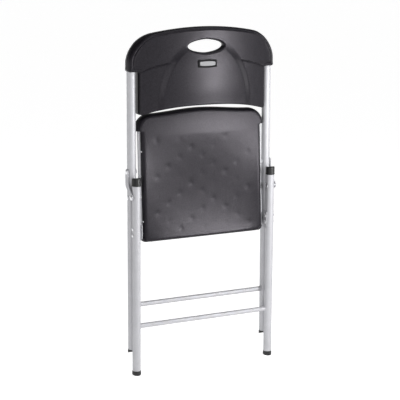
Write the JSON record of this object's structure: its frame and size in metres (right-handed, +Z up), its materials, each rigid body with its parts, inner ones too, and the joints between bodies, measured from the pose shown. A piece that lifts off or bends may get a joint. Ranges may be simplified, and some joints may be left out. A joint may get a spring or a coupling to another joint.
{
  "type": "folding chair",
  "caption": "Folding chair with a round-tube steel frame, moulded plastic seat and a slip-on moulded backrest with a hand hole, stored folded flat.",
  "frame": {"origin": "on the ground under the middle of the folded chair, at the height of the rear feet's soles", "axes": "+Z up along the folded frame, +X to the sitter's left, -Y the way the sitter faces"},
  "size_m": [0.4738, 0.0672, 0.9965],
  "materials": {
    "powder_coated_steel": "satin silver-grey powder coat",
    "moulded_plastic": "charcoal blow-moulded polyethylene with a fine pebbled grain",
    "black_fittings": "smooth black plastic",
    "rivet_steel": "zinc-plated",
    "badge": "satin, blank"
  },
  "bodies": {
    "front_frame": {"front_tube_left": "powder_coated_steel", "front_foot_left": "black_fittings", "seat_pivot_rivet_left": "rivet_steel", "link_pivot_rivet_left": "rivet_steel", "front_tube_right": "powder_coated_steel", "front_foot_right": "black_fittings", "seat_pivot_rivet_right": "rivet_steel", "link_pivot_rivet_right": "rivet_steel", "front_rung": "powder_coated_steel", "backrest": "moulded_plastic", "backrest_badge": "badge"},
    "seat": {"seat_rail_left": "powder_coated_steel", "seat_spacer_left": "black_fittings", "bracket_washer_left": "black_fittings", "seat_screw_left_rear": "rivet_steel", "seat_screw_left_front": "rivet_steel", "seat_rail_right": "powder_coated_steel", "seat_spacer_right": "black_fittings", "bracket_washer_right": "black_fittings", "seat_screw_right_rear": "rivet_steel", "seat_screw_right_front": "rivet_steel", "seat_panel": "moulded_plastic"},
    "rear_frame": {"rear_tube_left": "powder_coated_steel", "rear_foot_left": "black_fittings", "rear_cap_left": "black_fittings", "seat_bracket_left": "powder_coated_steel", "bracket_pivot_rivet_left": "rivet_steel", "bracket_rivet_left_lower": "rivet_steel", "bracket_rivet_left_upper": "rivet_steel", "link_bush_left": "rivet_steel", "rear_tube_right": "powder_coated_steel", "rear_foot_right": "black_fittings", "rear_cap_right": "black_fittings", "seat_bracket_right": "powder_coated_steel", "bracket_pivot_rivet_right": "rivet_steel", "bracket_rivet_right_lower": "rivet_steel", "bracket_rivet_right_upper": "rivet_steel", "link_bush_right": "rivet_steel", "rear_rung": "powder_coated_steel"},
    "link_left": {"link_left": "powder_coated_steel", "link_end_rivet_left": "rivet_steel"},
    "link_right": {"link_right": "powder_coated_steel", "link_end_rivet_right": "rivet_steel"}
  },
  "joints": [
    {"name": "seat_fold", "type": "hinge", "parent": "front_frame", "child": "seat", "pos_m": [0, -0.0152, 0.518], "axis": [1, 0, 0], "range_deg": [0, 109]},
    {"name": "rear_frame_fold", "type": "hinge", "parent": "seat", "child": "rear_frame", "pos_m": [0, -0.0082, 0.424], "axis": [1, 0, 0], "range_deg": [-75, 0]},
    {"name": "link_left_fold", "type": "hinge", "parent": "front_frame", "child": "link_left", "pos_m": [0.233, -0.0152, 0.5925], "axis": [1, 0, 0], "range_deg": [0, 117]},
    {"name": "link_right_fold", "type": "hinge", "parent": "front_frame", "child": "link_right", "pos_m": [-0.233, -0.0152, 0.5925], "axis": [1, 0, 0], "range_deg": [0, 117]}
  ],
  "couplings": [
    {"joint": "rear_frame_fold", "follows": "seat_fold", "ratio": -0.68207},
    {"joint": "link_left_fold", "follows": "seat_fold", "ratio": 1.0609},
    {"joint": "link_right_fold", "follows": "seat_fold", "ratio": 1.0609}
  ]
}
